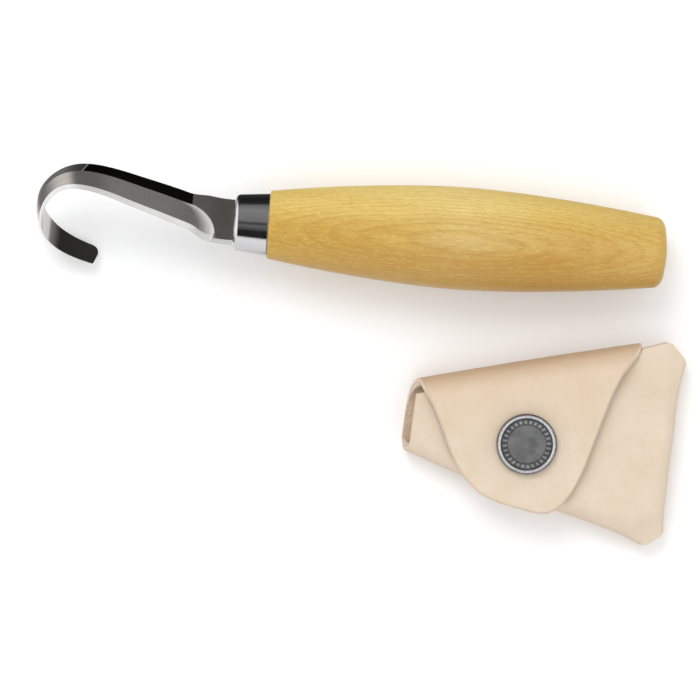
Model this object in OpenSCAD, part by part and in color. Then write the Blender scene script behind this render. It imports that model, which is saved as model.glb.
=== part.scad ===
// Hook knife for carving spoons and bowls, with its folded leather sheath.
// The knife lies on a table on its belly and the tip of its hook, and the empty sheath lies beside it.
// Millimetres, +Z up, +X along the table from the hook towards the butt.

/* [Handle] */
// Length of the wooden handle behind the ferrule
handle_len = 103.6; // [90:0.2:120]
// Thickness of the handle at its belly, in the plane of the hook
handle_thick = 24.6; // [22:0.2:28]
// Breadth of the handle at its belly, across the plane of the hook
handle_broad = 28.6; // [24:0.2:32]
// Distance from the ferrule to the thickest place
belly_at = 50; // [40:1:60]
// Size of the handle's nose, as a share of the belly
nose_share = 0.66; // [0.62:0.01:0.75]
// Size of the handle's butt, as a share of the belly
butt_share = 0.655; // [0.5:0.005:0.8]
// Radius of the rounded rim of the butt
butt_round = 3; // [1:0.5:5]

/* [Ferrule] */
// Length of the ferrule
ferrule_len = 9; // [7:0.5:14]
// Thickness of the ferrule at its front, in the plane of the hook
ferrule_front = 13.8; // [13:0.1:15]
// Thickness of the ferrule against the wood
ferrule_back = 15.4; // [15:0.1:16]
// Breadth of the ferrule as a multiple of its thickness
ferrule_oval = 1.11; // [1:0.01:1.2]
// Wall thickness of the ferrule
ferrule_wall = 0.7; // [0.4:0.1:1]

/* [Blade] */
// Length of the steel strip from the ferrule to the tip, along its curve
strip_len = 84; // [80:1:90]
// Thickness of the strip
strip_thick = 1.7; // [1.4:0.1:2]
// Depth of the tang inside the handle and ferrule
tang_len = 54; // [30:1:70]
// Width of the tang
tang_width = 9.2; // [6:0.2:10]
// Height of the small flat that stands for the cutting edge
edge_flat = 0.12; // [0.08:0.02:0.3]

/* [Sheath] */
// Thickness of the leather
leather = 2.1; // [1.6:0.1:2.4]
// Height of the closed sheath, from the table to the top of the flap
sheath_height = 15.4; // [14.8:0.1:18]
// Gap between the flap and the front panel, where the snap sits
flap_gap = 1.3; // [1:0.1:1.6]
// Length of the top fold, which is the flap's hinge
fold_len = 58.4; // [55:0.1:60]
// Depth of the flap from the fold to its tip
flap_depth = 39.8; // [36:0.1:42]

/* [Snap fastener] */
// Distance from the top fold to the centre of the snap
snap_from_fold = 21.5; // [18:0.1:24]
// Distance from the mouth end of the fold to the centre of the snap
snap_along_fold = 25.2; // [22:0.1:28]
// Diameter of the cap
cap_dia = 15.8; // [12:0.1:17]
// Diameter of the socket under the flap
socket_dia = 12; // [10:0.1:13]
// Diameter of the stud's knob
knob_dia = 5.8; // [4.5:0.1:6]

/* [Layout on the table] */
// Roll of the hook's plane about the long axis of the knife
hook_roll = 46.5; // [40:0.5:55]
// Angle of the knife on the table, seen from above
knife_turn = -4.12; // [-10:0.02:10]
// Angle of the sheath's fold on the table, seen from above
sheath_turn = 8.95; // [0:0.05:20]
// Centre of the ferrule's front on the table
knife_at = [-33.57, 35.12]; // [-60:0.01:60]
// Mouth end of the sheath's top fold on the table
sheath_at = [14.04, -5.17]; // [-60:0.01:60]

/* [Hidden] */
$fn = 64;

// The pitch and height at which the belly and the tip of the hook both touch the table
knife_pitch = 1.048;
knife_height = 14.382;

// Where the strip's centre line leaves the front of the ferrule
strip_start = [-0.05, 0.3];
// How far the strip turns along its length, in degrees per millimetre, from the ferrule to the tip
strip_turn = [[0, 2], [6.5, 3.2], [13, -0.8], [25, 0.2], [35, -1.5], [43, -5.9], [53, -3.75],
              [67, -4.45], [84, -0.25]];
// Half widths of the strip along its length: towards the spine, and towards the cutting edge
spine_half = [[0, 7.2], [7, 7.3], [12, 5.6], [42, 4.4], [52, 3.6], [60, 3.8], [68, 4.6], [84, 3.2]];
edge_half = [[0, 7.8], [7.6, 7.9], [9.4, 6.9], [11, 6.0], [16, 6.0], [29, 5.2], [40, 3.9], [48, 2.3],
             [52, 2.3], [56, 2.9], [62, 4.2], [84, 3.4]];
// Share of the full grind along the strip: none at the ricasso, all of it from the heel onwards
grind = [[0, 0], [8, 0], [14, 1]];
// The main bevel starts this share of the width away from the spine
bevel_share = 0.36;
// The narrow bevel behind the cutting edge: its width share and its thickness
edge_bevel_share = 0.14;
edge_bevel_thick = 0.8;
strip_steps = 68;

// Clearances: between moving pieces, and between pieces that are fixed together
gap = 0.3;
skin = 0.02;
// How far a cutting shape runs past what it cuts
past = 1;

// The ferrule's front is closed by a cap of this thickness, and the wood begins just behind it
cap_thick = 1.1;
tenon_start = cap_thick + 0.1;

// The slot in the handle that takes the tang and its adhesive
slot_thick = 2.6;
slot_width = tang_width + 1.4;
slot_end = tang_len + 2;
// The slot in the ferrule's cap is this much larger than the tang all round
slot_ease = 0.1;

// The fold of the sheath is half a ring of this outer radius
fold_r = sheath_height / 2;
body_height = sheath_height - leather - flap_gap;

// Outlines of the sheath, along the fold and away from it; the mouth is at the left
flap_edge = [[0.4, 0], [1.2, -1.8], [3.4, -8.2], [4.7, -14], [6.1, -21.3], [8.3, -27.2],
             [11.3, -31.8], [15.2, -34.6], [20.5, -37.2], [25.9, -39.4], [27.2, -39.8],
             [29.4, -39.2], [31.8, -37.9], [34.7, -35.4], [36.9, -32.6], [42.7, -23], [46.6, -16.2],
             [49.4, -11.6], [52, -8], [55, -4.4], [58.4, -1]];
body_edge = [[-0.2, -0.2], [-3, -4.4], [-6, -18.3], [51.2, -52.9], [54.5, -52.4], [57, -50.8],
             [70.4, -7.4], [66.8, -1.2], [59, -1.8], [59, -0.2]];
// The envelope that the panels and folds follow, drawn on past the mouth and past the top
envelope_edge = [[-23.1, -8], [51.2, -52.9], [54.5, -52.4], [57, -50.8], [74.8, 6.9], [74.8, 20],
                 [-23.1, 20]];

// Heights of the snap's pieces
cap_top = sheath_height + 1.7;
pocket = 1;
socket_top = sheath_height - leather + pocket;
socket_base = body_height + 0.2;
stud_seat = body_height - 0.8;
can_wall = 0.4;
rivet_r = 2.2;
post_r = 1.6;
knob_top = socket_top - can_wall - 0.6;

// ---------- knife ----------

module on_knife() {
    translate([knife_at[0], knife_at[1], knife_height])
        rotate([hook_roll, knife_pitch, knife_turn])
            children();
}

// An oval turned solid along +X through rings of [distance, half thickness, half breadth]
module oval_solid(rings) {
    sides = 40;
    last = len(rings) - 1;
    polyhedron(
        points = [for (r = rings, k = [0 : sides - 1])
            [r[0], r[1] * cos(360 * k / sides), r[2] * sin(360 * k / sides)]],
        faces = concat(
            [[for (k = [0 : sides - 1]) k]],
            [for (j = [0 : last - 1], k = [0 : sides - 1])
                [j * sides + k, (j + 1) * sides + k,
                 (j + 1) * sides + (k + 1) % sides, j * sides + (k + 1) % sides]],
            [[for (k = [sides - 1 : -1 : 0]) last * sides + k]]));
}

// Half thickness of the handle at a distance behind the ferrule
function handle_half(d) =
    let (nose = d < belly_at,
         drop = 1 - (nose ? nose_share : butt_share),
         span = nose ? belly_at : handle_len - belly_at)
    handle_thick / 2 * (1 - drop * pow(abs(d - belly_at) / span, 1.7));

// Half thickness of the ferrule at a distance behind its front
function ferrule_half(x) = (ferrule_front + (ferrule_back - ferrule_front) * x / ferrule_len) / 2;

// A ring of the handle, a distance behind the ferrule, drawn in by a depth
function handle_ring(d, depth = 0) =
    let (half = handle_half(d) - depth)
    [ferrule_len + d, half, half * handle_broad / handle_thick];

// A ring of the ferrule, a distance behind its front, drawn in by a depth
function ferrule_ring(x, depth = 0) =
    let (half = ferrule_half(x))
    [x, half - depth, half * ferrule_oval - depth];

module handle() {
    steps = 24;
    body_len = handle_len - butt_round;
    nose_break = 0.3;
    butt_crown = 0.5;
    rings = [
        ferrule_ring(tenon_start, ferrule_wall + skin),
        ferrule_ring(ferrule_len - 0.1, ferrule_wall + skin),
        handle_ring(-0.1, nose_break),
        for (i = [0 : steps]) handle_ring(nose_break + (body_len - nose_break) * i / steps),
        for (a = [20 : 20 : 80])
            handle_ring(body_len + (butt_round - butt_crown) * sin(a), butt_round * (1 - cos(a))),
        handle_ring(handle_len, butt_round + 1.5)
    ];
    color("burlywood")
        on_knife()
            difference() {
                oval_solid(rings);
                translate([0, -slot_thick / 2, -slot_width / 2])
                    cube([slot_end, slot_thick, slot_width]);
            }
}

module ferrule() {
    rim_round = 1.3;
    back_end = ferrule_len - 0.15;
    rings = [
        ferrule_ring(0, rim_round),
        ferrule_ring(0.3 * rim_round, 0.3 * rim_round),
        ferrule_ring(rim_round),
        ferrule_ring(back_end),
        ferrule_ring(back_end, ferrule_wall),
        ferrule_ring(cap_thick, ferrule_wall)
    ];
    slot = [4, strip_thick + 2 * slot_ease, tang_width + 4 * slot_ease];
    color("silver")
        on_knife()
            difference() {
                oval_solid(rings);
                translate([-past, -slot[1] / 2, -slot[2] / 2])
                    cube(slot);
            }
}

// Centre line of the strip: [x, y, direction] at even steps, found by adding up its turning
function strip_line() =
    let (ds = strip_len / strip_steps)
    [for (i = 0, x = strip_start[0], y = strip_start[1], a = 0;
          i <= strip_steps;
          i = i + 1,
          x = x - ds * cos(a), y = y + ds * sin(a),
          a = a + ds * lookup(ds * (i - 0.5), strip_turn))
        [x, y, a, ds * i]];

// Section of the strip: [towards the outside of the hook, towards the cutting edge]
function strip_section(s) =
    let (h = strip_thick / 2,
         g = lookup(s, grind),
         spine = lookup(s, spine_half),
         edge = lookup(s, edge_half),
         w = spine + edge)
    [[-h, -spine],
     [h, -spine],
     [h, -spine + w * bevel_share],
     [h - g * (2 * h - edge_bevel_thick), edge - w * edge_bevel_share],
     [h - g * (2 * h - edge_flat), edge],
     [-h, edge]];

// Section of the tang at a given half width
function tang_section(half) =
    let (h = strip_thick / 2)
    [[-h, -half], [h, -half], [h, -half / 2], [h, half / 2], [h, half], [-h, half]];

module blade() {
    line = strip_line();
    point_half = 2.5;
    point_len = 6;
    tang = [[tang_len, point_half], [tang_len - point_len, tang_width / 2], [-skin, tang_width / 2]];
    rings = concat(
        [for (t = tang) [for (p = tang_section(t[1])) [t[0], p[0], p[1]]]],
        [for (c = line) [for (p = strip_section(c[3]))
            [c[0] + p[0] * sin(c[2]), c[1] + p[0] * cos(c[2]), p[1]]]]);
    n = len(rings[0]);
    last = len(rings) - 1;
    color("lightsteelblue")
        on_knife()
            polyhedron(
                points = [for (r = rings) each r],
                faces = concat(
                    [[for (k = [0 : n - 1]) k]],
                    [for (j = [0 : last - 1], k = [0 : n - 1])
                        [j * n + k, (j + 1) * n + k, (j + 1) * n + (k + 1) % n, j * n + (k + 1) % n]],
                    [[for (k = [n - 1 : -1 : 0]) last * n + k]]));
}

module tang_filler() {
    color("ivory")
        on_knife()
            difference() {
                translate([tenon_start, -slot_thick / 2 + skin, -slot_width / 2 + skin])
                    cube([slot_end - tenon_start - skin, slot_thick - 2 * skin, slot_width - 2 * skin]);
                translate([0, -strip_thick / 2 - skin, -tang_width / 2 - skin])
                    cube([tang_len + skin, strip_thick + 2 * skin, tang_width + 2 * skin]);
            }
}

// ---------- sheath ----------

module on_sheath() {
    translate([sheath_at[0], sheath_at[1], 0])
        rotate([0, 0, sheath_turn])
            children();
}

// Half a ring of leather along the fold, its upper or lower quarter
module fold_quarter(upper) {
    rotate([90, 0, 90])
        linear_extrude(fold_len + 0.4)
            translate([-fold_r, fold_r])
                intersection() {
                    difference() {
                        circle(fold_r);
                        circle(fold_r - leather);
                    }
                    translate([0, upper ? gap / 2 : -gap / 2 - fold_r])
                        square(fold_r);
                }
}

// The closed envelope as a bevelled block, set in by a distance on every side
module envelope(inset) {
    bevel = 3.4;
    hull() {
        translate([0, 0, inset + bevel])
            linear_extrude(body_height - 2 * (inset + bevel))
                offset(delta = -inset)
                    polygon(envelope_edge);
        translate([0, 0, inset + bevel * 0.3])
            linear_extrude(body_height - 2 * (inset + bevel * 0.3))
                offset(delta = -inset - bevel * 0.3)
                    polygon(envelope_edge);
        translate([0, 0, inset])
            linear_extrude(body_height - 2 * inset)
                offset(delta = -inset - bevel)
                    polygon(envelope_edge);
    }
}

module at_snap(z) {
    on_sheath()
        translate([snap_along_fold, -snap_from_fold, z])
            children();
}

module sheath_body() {
    // A block larger than the sheath, and the part of it behind the fold's own centre
    block = [180, 140, body_height + 2 * past];
    behind_fold = [10 + fold_len + 0.4, 20, fold_r];
    panel_end = 3;
    color("bisque")
        difference() {
            on_sheath()
                union() {
                    difference() {
                        envelope(0);
                        envelope(leather);
                        // everything outside the cut outline of the leather
                        difference() {
                            translate([-60, -80, -past])
                                cube(block);
                            translate([0, 0, -2 * past])
                                linear_extrude(body_height + 4 * past)
                                    polygon(body_edge);
                        }
                        // the back panel gives way to the fold
                        translate([-10, -fold_r, -past])
                            cube(behind_fold);
                        // the front panel ends inside the fold
                        translate([-10, -fold_r + panel_end, fold_r - past])
                            cube(behind_fold);
                    }
                    fold_quarter(false);
                }
            at_snap(stud_seat)
                cylinder(d = socket_dia - 0.4, h = 2);
            at_snap(body_height - leather - past)
                cylinder(r = post_r + skin, h = leather + 2 * past);
        }
}

module sheath_flap() {
    color("antiquewhite")
        difference() {
            on_sheath()
                intersection() {
                    union() {
                        fold_quarter(true);
                        translate([-past, -flap_depth - past, sheath_height - leather])
                            cube([fold_len + 2 * past, flap_depth + past - fold_r, leather]);
                    }
                    translate([0, 0, fold_r - past])
                        linear_extrude(fold_r + 2 * past)
                            polygon(flap_edge);
                }
            at_snap(sheath_height - leather - past)
                cylinder(r = rivet_r + skin, h = leather + 2 * past);
            at_snap(sheath_height - leather - past)
                cylinder(d = socket_dia + 0.1, h = past + pocket);
        }
}

module snap_cap() {
    r = cap_dia / 2;
    height = cap_top - sheath_height;
    color("slategray")
        at_snap(0)
            rotate_extrude()
                polygon([
                    [1.4, socket_top - can_wall - 0.5],
                    [rivet_r + 0.7, socket_top - can_wall - 0.5],
                    [rivet_r + 0.7, socket_top - can_wall - skin],
                    [rivet_r, socket_top - can_wall - skin],
                    [rivet_r, sheath_height],
                    [r - 0.5, sheath_height],
                    [r, sheath_height + 0.5],
                    [r, sheath_height + height * 0.7],
                    [r - 0.4, cap_top],
                    [r - 1, cap_top],
                    [r - 1.4, cap_top - 0.4],
                    [0, cap_top - 0.2],
                    [0, cap_top - 1],
                    [1.4, cap_top - 1]
                ]);
}

module snap_socket() {
    r = socket_dia / 2;
    mouth_r = knob_dia / 2 + 0.6;
    color("lightslategray")
        at_snap(0)
            rotate_extrude()
                polygon([
                    [rivet_r + skin, socket_top],
                    [rivet_r + skin, socket_top - can_wall],
                    [r - can_wall, socket_top - can_wall],
                    [r - can_wall, socket_base + can_wall],
                    [mouth_r, socket_base + can_wall],
                    [mouth_r, socket_base],
                    [r - 0.3, socket_base],
                    [r, socket_base + 0.3],
                    [r, socket_top]
                ]);
}

module snap_spring() {
    wire_r = 0.3;
    ring_r = knob_dia / 2 + 0.65 + wire_r;
    color("gainsboro")
        at_snap(socket_base + can_wall + wire_r + skin)
            rotate([0, 0, 20])
                rotate_extrude(angle = 320)
                    translate([ring_r, 0])
                        circle(wire_r, $fn = 24);
}

module snap_stud() {
    r = knob_dia / 2;
    flange_r = socket_dia / 2 - 0.5;
    color("lightslategray")
        at_snap(0)
            rotate_extrude()
                polygon([
                    [post_r + skin, stud_seat],
                    [flange_r, stud_seat],
                    [flange_r, stud_seat + 0.5],
                    [r - 0.3, stud_seat + 0.6],
                    [r - 0.4, knob_top - 0.9],
                    [r, knob_top - 0.5],
                    [r - 0.5, knob_top],
                    [post_r + skin, knob_top]
                ]);
}

module snap_post() {
    inner_face = body_height - leather;
    color("gray")
        at_snap(0)
            rotate_extrude()
                polygon([
                    [0.9, inner_face - 0.3],
                    [1.4, inner_face - 0.6],
                    [4.4, inner_face - 0.6],
                    [4.5, inner_face],
                    [post_r, inner_face],
                    [post_r, knob_top - 0.2],
                    [0.9, knob_top - 0.2]
                ]);
}

handle();
ferrule();
blade();
tang_filler();
sheath_body();
sheath_flap();
snap_cap();
snap_socket();
snap_spring();
snap_stud();
snap_post();
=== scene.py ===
import math

import bmesh
import bpy
import numpy as np
from mathutils import Matrix, Vector


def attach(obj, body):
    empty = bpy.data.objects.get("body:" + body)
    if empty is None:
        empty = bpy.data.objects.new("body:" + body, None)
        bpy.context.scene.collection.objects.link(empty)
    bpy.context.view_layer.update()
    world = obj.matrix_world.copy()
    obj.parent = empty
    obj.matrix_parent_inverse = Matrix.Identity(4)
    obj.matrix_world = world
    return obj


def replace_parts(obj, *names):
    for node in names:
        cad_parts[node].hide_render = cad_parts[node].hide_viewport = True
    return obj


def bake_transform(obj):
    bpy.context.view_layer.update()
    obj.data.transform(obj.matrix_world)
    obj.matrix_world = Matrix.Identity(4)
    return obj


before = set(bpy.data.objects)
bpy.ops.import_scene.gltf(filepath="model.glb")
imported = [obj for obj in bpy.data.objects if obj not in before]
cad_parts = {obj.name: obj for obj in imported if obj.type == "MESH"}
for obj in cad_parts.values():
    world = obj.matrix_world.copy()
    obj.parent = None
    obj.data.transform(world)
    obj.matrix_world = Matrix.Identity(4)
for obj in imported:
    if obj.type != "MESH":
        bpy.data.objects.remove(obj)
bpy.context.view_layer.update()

# Lengths in this script are millimetres until a mesh is made; MM turns them into metres.
MM = 0.001


# ---------- frames of the two halves of the object ----------

def placed(x, y, z, roll=0, pitch=0, turn=0):
    """The matrix of a frame that is rolled about X, pitched about Y, turned about Z and moved."""
    return (Matrix.Translation((x * MM, y * MM, z * MM))
            @ Matrix.Rotation(math.radians(turn), 4, "Z")
            @ Matrix.Rotation(math.radians(pitch), 4, "Y")
            @ Matrix.Rotation(math.radians(roll), 4, "X"))


# The knife: +X from the ferrule's front to the butt, +Y to the outside of the hook, +Z to the edge.
KNIFE = placed(-33.57, 35.12, 14.382, roll=46.5, pitch=1.048, turn=-4.12)
# The Y and Z parts, in the knife's own frame, of the direction that is up as it lies.
UP_Y, UP_Z = 0.725, 0.688
# The sheath: +X along the top fold from the mouth, -Y down the flap, +Z up from the table.
SHEATH = placed(14.04, -5.17, 0, turn=8.95)
SNAP_AT = np.array([25.2, -21.5])
SNAP = SHEATH @ Matrix.Translation((SNAP_AT[0] * MM, SNAP_AT[1] * MM, 0))


# ---------- curves and meshes ----------

def lookup(table, x):
    """Linear interpolation in a table of [x, value]."""
    return np.interp(x, *zip(*table))


def smoothstep(low, high, x):
    t = np.clip((np.asarray(x, float) - low) / (high - low), 0, 1)
    return t * t * (3 - 2 * t)


def spline(points, count):
    """A smooth curve through points, sampled at even steps of its chord length."""
    p = np.asarray(points, float)
    gaps = np.linalg.norm(np.diff(p, axis=0), axis=1)
    t = np.concatenate(([0], np.cumsum(gaps)))
    slope = np.diff(p, axis=0) / gaps[:, None]
    blend = gaps[1:, None] / (gaps[1:] + gaps[:-1])[:, None]
    tangent = np.vstack((slope[:1], slope[:-1] * blend + slope[1:] * (1 - blend), slope[-1:]))
    at = np.linspace(0, t[-1], count)
    i = np.clip(np.searchsorted(t, at, side="right") - 1, 0, len(gaps) - 1)
    h = gaps[i][:, None]
    u = (at - t[i])[:, None] / h
    return ((2 * u**3 - 3 * u**2 + 1) * p[i] + (u**3 - 2 * u**2 + u) * h * tangent[i]
            + (3 * u**2 - 2 * u**3) * p[i + 1] + (u**3 - u**2) * h * tangent[i + 1])


def coons(top, bottom, left, right):
    """A grid of points between four edge curves, in rows from left to right, the top one first."""
    u = np.linspace(0, 1, len(top))[None, :, None]
    v = np.linspace(0, 1, len(left))[:, None, None]
    corners = ((1 - u) * (1 - v) * top[0] + u * (1 - v) * top[-1]
               + (1 - u) * v * bottom[0] + u * v * bottom[-1])
    return ((1 - v) * top[None] + v * bottom[None]
            + (1 - u) * left[:, None] + u * right[:, None] - corners)


def grid_faces(rows, columns, closed=False):
    """Quads of a grid of vertices; closed joins the last column to the first."""
    faces = []
    for row in range(0, (rows - 1) * columns, columns):
        below = row + columns
        for k in range(columns if closed else columns - 1):
            n = (k + 1) % columns
            faces.append((row + k, below + k, below + n, row + n))
    return faces


def loft(rings):
    """A closed solid through rings with equal numbers of points."""
    rings = np.asarray(rings, float)
    count, sides = rings.shape[:2]
    faces = grid_faces(count, sides, closed=True)
    faces.append(tuple(range(sides)))
    faces.append(tuple((count - 1) * sides + k for k in reversed(range(sides))))
    return rings.reshape(-1, 3), faces


def add(name, data):
    """A new object in the scene."""
    thing = bpy.data.objects.new(name, data)
    bpy.context.scene.collection.objects.link(thing)
    return thing


def make_piece(name, verts, faces, matrix, materials, kinds=None, sharp=30):
    """A mesh object from points in millimetres, smooth but for edges sharper than sharp degrees."""
    mesh = bpy.data.meshes.new(name)
    mesh.from_pydata((np.asarray(verts) * MM).tolist(), [], faces)
    for material in materials:
        mesh.materials.append(material)
    if kinds is not None:
        mesh.polygons.foreach_set("material_index", np.asarray(kinds, np.int32))
    bm = bmesh.new()
    bm.from_mesh(mesh)
    bmesh.ops.recalc_face_normals(bm, faces=bm.faces)
    bm.to_mesh(mesh)
    bm.free()
    mesh.shade_smooth()
    mesh.set_sharp_from_angle(angle=math.radians(sharp))
    piece = add(name, mesh)
    piece.matrix_world = matrix
    return piece


def set_points(piece, name, values):
    """Stores one vector, or one number, for each vertex."""
    values = np.asarray(values, np.float32)
    kind, field = ("FLOAT_VECTOR", "vector") if values.ndim == 2 else ("FLOAT", "value")
    attribute = piece.data.attributes.new(name, kind, "POINT")
    attribute.data.foreach_set(field, values.ravel())


def settle(piece):
    """Stores the points in the piece's own frame, in millimetres, and moves the mesh into place."""
    own = np.array([v.co for v in piece.data.vertices]) / MM
    set_points(piece, "own", own)
    piece.data.transform(piece.matrix_world)
    piece.matrix_world = Matrix.Identity(4)
    return piece


def cut_away(piece, low, high):
    """Cuts a box, given by two corners in the piece's own frame, out of a solid."""
    bm = bmesh.new()
    bmesh.ops.create_cube(bm, size=1)
    low, high = Vector(low) * MM, Vector(high) * MM
    for v in bm.verts:
        v.co = Vector((low[i] if v.co[i] < 0 else high[i]) for i in range(3))
    mesh = bpy.data.meshes.new("cutter")
    bm.to_mesh(mesh)
    bm.free()
    cutter = add("cutter", mesh)
    cutter.matrix_world = piece.matrix_world
    modifier = piece.modifiers.new("slot", "BOOLEAN")
    modifier.operation = "DIFFERENCE"
    modifier.object = cutter
    modifier.solver = "EXACT"
    bpy.context.view_layer.update()
    evaluated = piece.evaluated_get(bpy.context.evaluated_depsgraph_get())
    done = bpy.data.meshes.new_from_object(evaluated)
    piece.modifiers.clear()
    old = piece.data
    piece.data = done
    bpy.data.meshes.remove(old)
    bpy.data.objects.remove(cutter)
    bpy.data.meshes.remove(mesh)


# ---------- node materials ----------

class Nodes:
    """A node tree being made, with a short call for each kind of node."""

    def __init__(self, tree):
        self.tree = tree

    def put(self, socket, value):
        """Sets a socket to a number, a colour or another node's output."""
        if isinstance(value, bpy.types.NodeSocket):
            self.tree.links.new(value, socket)
        elif isinstance(value, tuple) and len(value) == 3 and socket.type == "RGBA":
            socket.default_value = (*value, 1)
        else:
            socket.default_value = value

    def node(self, kind, inputs, output=0, **settings):
        """Makes a node, sets its inputs and gives one of its outputs."""
        node = self.tree.nodes.new(kind)
        for key, value in settings.items():
            setattr(node, key, value)
        for key, value in inputs.items():
            self.put(node.inputs[key], value)
        return node.outputs[output]

    def stored(self, name, output="Fac"):
        """What the mesh stores for each vertex under a name."""
        return self.node("ShaderNodeAttribute", {}, output, attribute_name=name)

    def points(self, scale, name=None, turn=(0, 0, 0), move=(0, 0, 0)):
        """Millimetres in the object's frame, or a stored vector, times a scale or one per axis."""
        if not isinstance(scale, tuple):
            scale = (scale, scale, scale)
        if name:
            vector, unit = self.stored(name, "Vector"), 1
        else:
            vector, unit = self.node("ShaderNodeTexCoord", {}, "Object"), 1 / MM
        return self.node("ShaderNodeMapping", {
            "Vector": vector, "Scale": tuple(s * unit for s in scale), "Location": move,
            "Rotation": tuple(math.radians(a) for a in turn)})

    def noise(self, scale, name=None, detail=3.0, rough=0.5, twist=0.0, **place):
        """Noise whose size is set by scale, for each axis. The arguments in place go to points."""
        return self.node("ShaderNodeTexNoise", {
            "Vector": self.points(scale, name, **place), "Scale": 1.0, "Detail": detail,
            "Roughness": rough, "Distortion": twist}, "Fac")

    def math(self, operation, *values):
        return self.node("ShaderNodeMath", dict(enumerate(values)), operation=operation)

    def linear(self, value, factor, offset):
        """value times factor, plus offset."""
        return self.math("MULTIPLY_ADD", value, factor, offset)

    def vector_math(self, operation, *values):
        """A vector operation that gives one number."""
        return self.node("ShaderNodeVectorMath", dict(enumerate(values)), "Value",
                         operation=operation)

    def sideways(self, reach):
        """How far a point of the knife lies towards +Y of the scene, as a share of reach."""
        place = self.points((0, UP_Z / reach, -UP_Y / reach), "own")
        return self.vector_math("DOT_PRODUCT", place, (0, 1, 1))

    def ramp(self, factor, *stops):
        """A colour ramp; a stop is (position, colour) or (position, grey level)."""
        node = self.tree.nodes.new("ShaderNodeValToRGB")
        self.put(node.inputs[0], factor)
        elements = node.color_ramp.elements
        while len(elements) < len(stops):
            elements.new(0.5)
        for element, (at, colour) in zip(elements, stops):
            rgb = colour if isinstance(colour, tuple) else (colour, colour, colour)
            element.position, element.color = at, (*rgb, 1)
        return node.outputs[0]

    def mix(self, factor, a, b, blend="MIX"):
        return self.node("ShaderNodeMix", {0: factor, 6: a, 7: b}, 2, data_type="RGBA",
                         blend_type=blend)


class Shader(Nodes):
    """A material being made: nodes that lead to one surface shader."""

    def __init__(self, name, **values):
        self.material = bpy.data.materials.new(name)
        self.material.use_nodes = True
        super().__init__(self.material.node_tree)
        self.tree.nodes.clear()
        output = self.tree.nodes.new("ShaderNodeOutputMaterial")
        self.bsdf = self.tree.nodes.new("ShaderNodeBsdfPrincipled")
        self.tree.links.new(self.bsdf.outputs[0], output.inputs[0])
        for key, value in values.items():
            self.set(key.replace("_", " "), value)

    def set(self, name, value):
        """Sets a socket of the surface shader."""
        self.put(self.bsdf.inputs[name], value)

    def source(self, name):
        """The output that a socket of the surface shader is linked to."""
        return self.bsdf.inputs[name].links[0].from_socket

    def bump(self, height, distance, strength=1.0):
        """Adds a bump whose height of 1 is the given number of millimetres."""
        inputs = {"Height": height, "Distance": distance * MM, "Strength": strength}
        if self.bsdf.inputs["Normal"].is_linked:
            inputs["Normal"] = self.source("Normal")
        self.set("Normal", self.node("ShaderNodeBump", inputs))


def shade(colour, share):
    return tuple(c * share for c in colour)


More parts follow.
